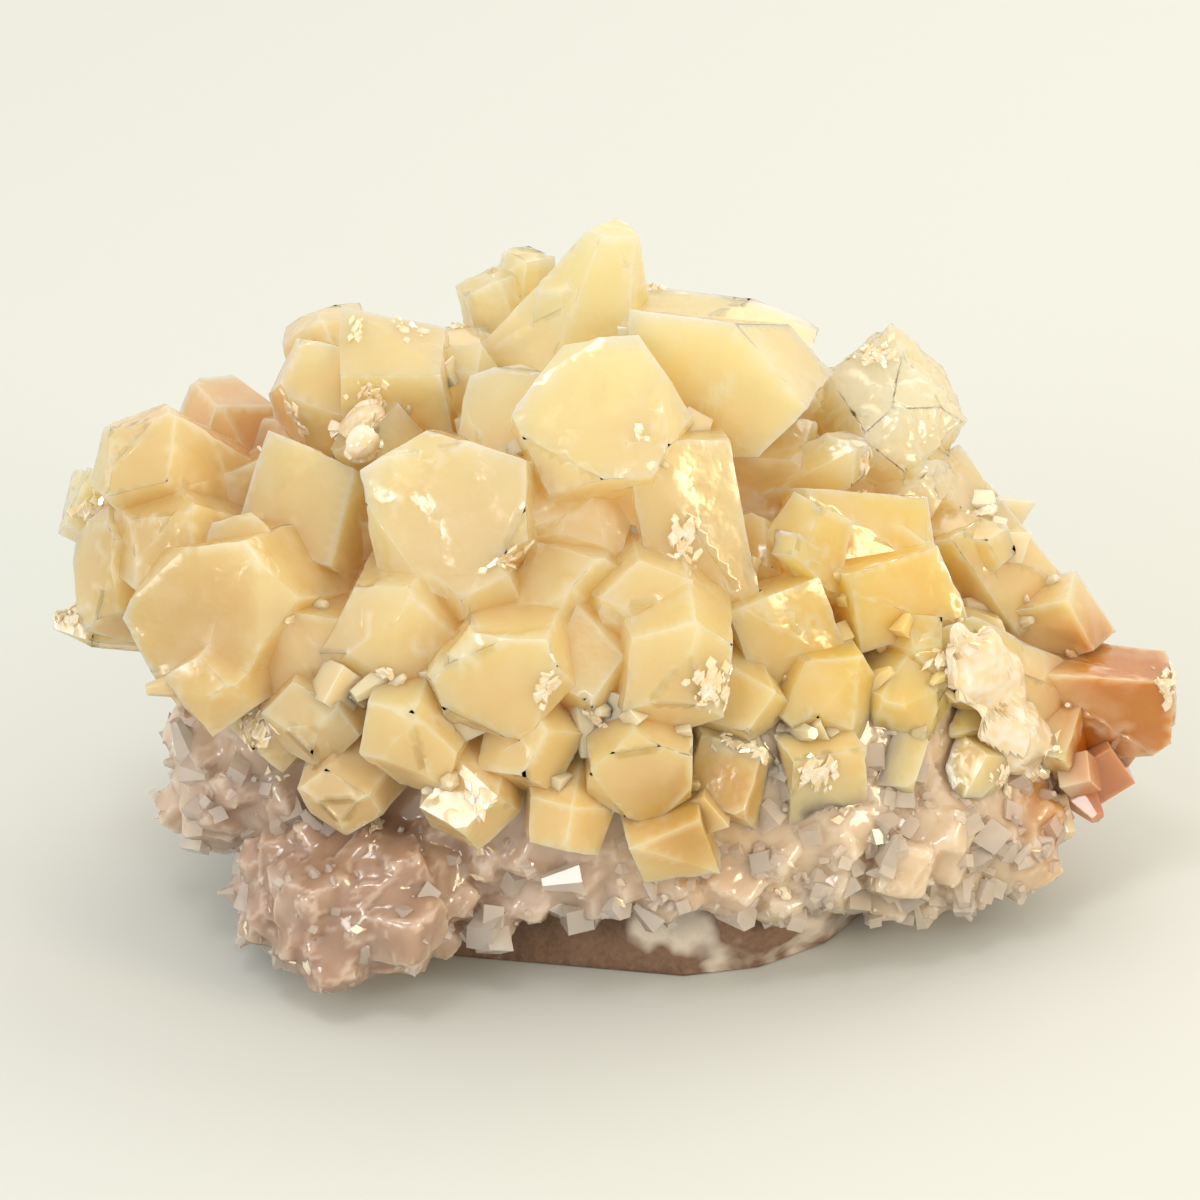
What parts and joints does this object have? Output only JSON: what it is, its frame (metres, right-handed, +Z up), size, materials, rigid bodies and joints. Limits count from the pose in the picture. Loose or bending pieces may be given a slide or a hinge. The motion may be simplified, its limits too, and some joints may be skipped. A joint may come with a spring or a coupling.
{
  "type": "calcite crystal cluster",
  "caption": "Natural cluster of stubby honey-coloured calcite crystals spreading like a dome from a drusy crust on broken host rock, flat underneath so that it stands.",
  "frame": {"origin": "on the flat that the specimen stands on, near the middle of that flat", "axes": "+Z up, -Y towards the viewer who sees the largest crystals, +X to that viewer's right along the specimen's longest extent"},
  "size_m": [0.0791, 0.0499, 0.047],
  "materials": {
    "honey_calcite": "translucent, waxy to vitreous, honey to pale yellow",
    "drusy_calcite": "sugary and sparkling, lilac grey",
    "host_rock": "dull, granular, broken stone"
  },
  "bodies": {
    "root": {"crystals": "honey_calcite", "druse": "drusy_calcite", "matrix": "host_rock"}
  },
  "joints": []
}
